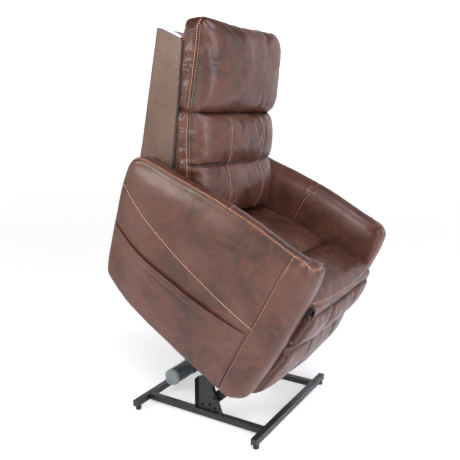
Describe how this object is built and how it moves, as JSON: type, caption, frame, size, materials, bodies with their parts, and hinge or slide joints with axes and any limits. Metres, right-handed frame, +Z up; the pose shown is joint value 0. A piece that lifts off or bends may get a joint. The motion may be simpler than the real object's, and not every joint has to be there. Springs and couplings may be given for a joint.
{
  "type": "lift recliner chair",
  "caption": "Power lift recliner chair, raised and tilted forward on its base frame, with reclining back, folding footrest, padded arms and side pockets",
  "frame": {"origin": "on the floor under the middle of the whole chair's bounding box, with the chair standing at the top of its lift", "axes": "+Z up, -Y the way the sitter faces, +X towards the sitter's left"},
  "size_m": [0.844, 0.9378, 1.5953],
  "materials": {
    "frame_black": "satin",
    "cap_black": "satin",
    "zinc_steel": "satin",
    "motor_dark": "satin",
    "motor_grey": "satin",
    "wood": "matte",
    "padded_leather": "satin",
    "leather_cover": "satin",
    "liner_white": "matte"
  },
  "bodies": {
    "base": {"base_crossbar_front": "frame_black", "base_crossbar_rear": "frame_black", "base_side_rail_left": "frame_black", "base_side_rail_right": "frame_black", "base_end_caps": "cap_black", "base_feet": "cap_black", "upright_left": "frame_black", "upright_right": "frame_black", "upright_bolts": "zinc_steel", "lift_arm_pins": "zinc_steel", "front_link_pins": "zinc_steel", "actuator_clevis": "frame_black"},
    "lift_arms": {"lift_arm_left": "frame_black", "lift_arm_right": "frame_black", "torque_tube": "frame_black", "torque_lug": "frame_black"},
    "front_links": {"front_link_left": "frame_black", "front_link_right": "frame_black"},
    "lift_actuator": {"lift_gearbox": "motor_dark", "lift_motor": "motor_dark", "lift_motor_cap": "motor_grey", "lift_outer_tube": "motor_grey"},
    "lift_actuator_rod": {"lift_rod": "zinc_steel"},
    "seat_frame": {"seat_rail_left": "frame_black", "seat_rail_right": "frame_black", "pivot_bracket_left": "frame_black", "pivot_bracket_right": "frame_black", "seat_cross_tubes": "frame_black", "actuator_forks": "frame_black", "seat_side_boards": "wood", "seat_front_board": "wood", "seat_rear_board": "wood", "seat_springs": "zinc_steel", "seat_cushion": "padded_leather", "seat_front_cushion": "padded_leather", "arm_frame_left": "wood", "arm_frame_right": "wood", "arm_left": "padded_leather", "arm_right": "padded_leather", "side_pocket_left": "leather_cover", "side_pocket_right": "leather_cover", "control_box": "motor_dark", "power_inlet": "motor_dark", "footrest_hinge_rod": "frame_black", "back_hinge_brackets": "frame_black"},
    "backrest": {"back_frame": "wood", "back_side_panel_left": "leather_cover", "back_side_panel_right": "leather_cover", "back_rear_panel": "leather_cover", "back_liners": "liner_white", "lumbar_cushion": "padded_leather", "headrest_cushion": "padded_leather"},
    "chaise": {"chaise_board": "wood", "chaise_pad": "padded_leather"},
    "footrest": {"footrest_board": "wood", "footrest_pad": "padded_leather"},
    "back_actuator": {"back_actuator_housing": "motor_dark"},
    "back_actuator_rod": {"back_actuator_rod": "zinc_steel"},
    "footrest_actuator": {"footrest_actuator_housing": "motor_dark"},
    "footrest_actuator_rod": {"footrest_actuator_rod": "zinc_steel"}
  },
  "joints": [
    {"name": "lift", "type": "hinge", "parent": "base", "child": "lift_arms", "pos_m": [0, 0.11232, 0.1857], "axis": [1, 0, 0], "range_deg": [0, 38.13]},
    {"name": "seat_tilt", "type": "hinge", "parent": "lift_arms", "child": "seat_frame", "pos_m": [0, -0.12627, 0.33188], "axis": [1, 0, 0], "range_deg": [-70.65, 0.02]},
    {"name": "front_link_swing", "type": "hinge", "parent": "base", "child": "front_links", "pos_m": [0, 0.06432, 0.0995], "axis": [1, 0, 0], "range_deg": [-0.02, 42.29]},
    {"name": "lift_actuator_swing", "type": "hinge", "parent": "base", "child": "lift_actuator", "pos_m": [0, 0.40232, 0.076], "axis": [1, 0, 0], "range_deg": [-0.02, 3.32]},
    {"name": "lift_actuator_stroke", "type": "slide", "parent": "lift_actuator", "child": "lift_actuator_rod", "axis": [0, -0.9988, 0.048], "range_m": [-0.07138, 0.0001]},
    {"name": "recline", "type": "hinge", "parent": "seat_frame", "child": "backrest", "pos_m": [0, 0.30573, 0.82241], "axis": [-1, 0, 0], "range_deg": [0, 40]},
    {"name": "back_actuator_swing", "type": "hinge", "parent": "seat_frame", "child": "back_actuator", "pos_m": [0, -0.11276, 0.42775], "axis": [1, 0, 0], "range_deg": [-0.02, 1.47]},
    {"name": "back_actuator_stroke", "type": "slide", "parent": "back_actuator", "child": "back_actuator_rod", "axis": [0, 0.8378, 0.546], "range_m": [-0.06958, 0.0001]},
    {"name": "footrest", "type": "hinge", "parent": "seat_frame", "child": "chaise", "pos_m": [0, -0.37859, 0.58446], "axis": [-1, 0, 0], "range_deg": [0, 80]},
    {"name": "footrest_fold", "type": "hinge", "parent": "chaise", "child": "footrest", "pos_m": [0, -0.25965, 0.448], "axis": [-1, 0, 0], "range_deg": [-0.02, 10.02]},
    {"name": "footrest_actuator_swing", "type": "hinge", "parent": "seat_frame", "child": "footrest_actuator", "pos_m": [0, 0.27015, 0.64561], "axis": [1, 0, 0], "range_deg": [-3.05, 0.02]},
    {"name": "footrest_actuator_stroke", "type": "slide", "parent": "footrest_actuator", "child": "footrest_actuator_rod", "axis": [0, -0.9512, -0.3084], "range_m": [-0.0001, 0.2055]}
  ],
  "couplings": [
    {"joint": "seat_tilt", "follows": "lift", "ratio": -1.8524},
    {"joint": "front_link_swing", "follows": "lift", "ratio": 1.1087},
    {"joint": "lift_actuator_swing", "follows": "lift", "ratio": 0.086636},
    {"joint": "lift_actuator_stroke", "follows": "lift", "m_per_rad": -0.10712},
    {"joint": "back_actuator_swing", "follows": "recline", "ratio": 0.036293},
    {"joint": "back_actuator_stroke", "follows": "recline", "m_per_rad": -0.099523},
    {"joint": "footrest_fold", "follows": "footrest", "ratio": 0.125},
    {"joint": "footrest_actuator_swing", "follows": "footrest", "ratio": -0.037885},
    {"joint": "footrest_actuator_stroke", "follows": "footrest", "m_per_rad": 0.14711}
  ]
}
